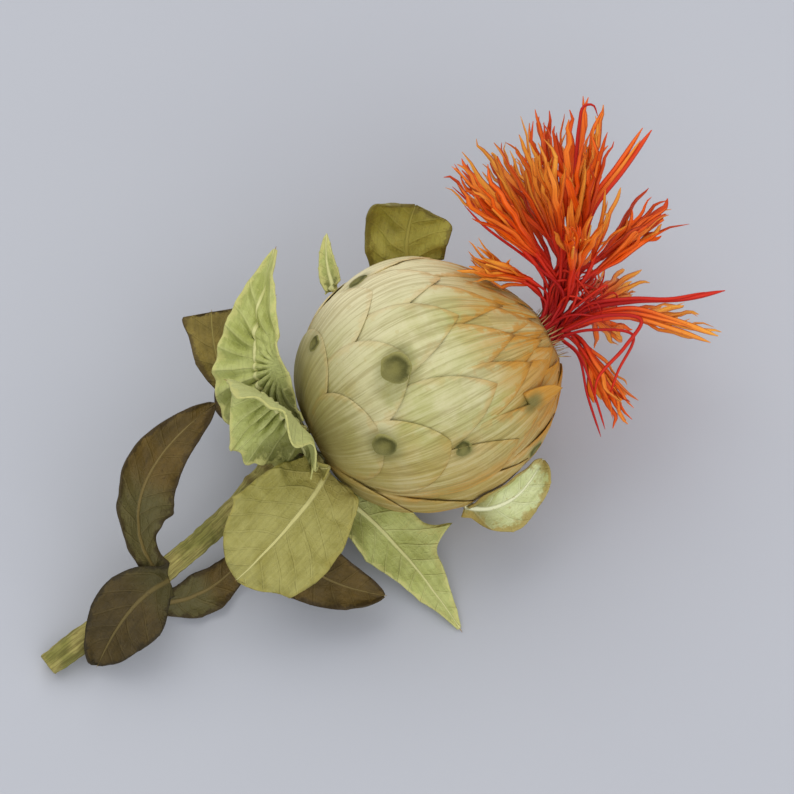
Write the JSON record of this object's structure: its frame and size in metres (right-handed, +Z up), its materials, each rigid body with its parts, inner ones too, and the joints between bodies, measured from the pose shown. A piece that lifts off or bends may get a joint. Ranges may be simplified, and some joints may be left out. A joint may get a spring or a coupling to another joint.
{
  "type": "dried thistle flower head",
  "caption": "Dried thistle-like flower head lying on its side: a scaly papery globe with leafy bracts, an orange-red tuft of florets and a short leafy stem.",
  "frame": {"origin": "middle of the small flat spot under the globe, on the surface that the flower head lies on", "axes": "+X along the flower from the cut stem to the florets, as seen from above, +Z up"},
  "size_m": [0.0771, 0.0404, 0.0323],
  "materials": {
    "papery_globe": "matte",
    "dry_bract": "matte",
    "scale_tip": "matte",
    "floret": "satin",
    "stem_fibre": "matte",
    "brown_leaf": "matte"
  },
  "bodies": {
    "root": {"globe": "papery_globe", "floret_tuft": "floret", "stem": "stem_fibre", "bract_near": "dry_bract", "bract_upper": "dry_bract", "bract_high": "dry_bract", "bract_far": "dry_bract", "bract_under": "dry_bract", "bract_low": "dry_bract", "bract_broad": "dry_bract", "bract_outer_high": "brown_leaf", "bract_outer_low": "brown_leaf", "bract_outer_far": "brown_leaf", "scale_tip_top": "scale_tip", "scale_tip_spike": "scale_tip", "scale_tip_low": "scale_tip", "stem_leaf_upper": "brown_leaf", "stem_leaf_lower": "brown_leaf", "stem_leaf_far": "brown_leaf"}
  },
  "joints": []
}
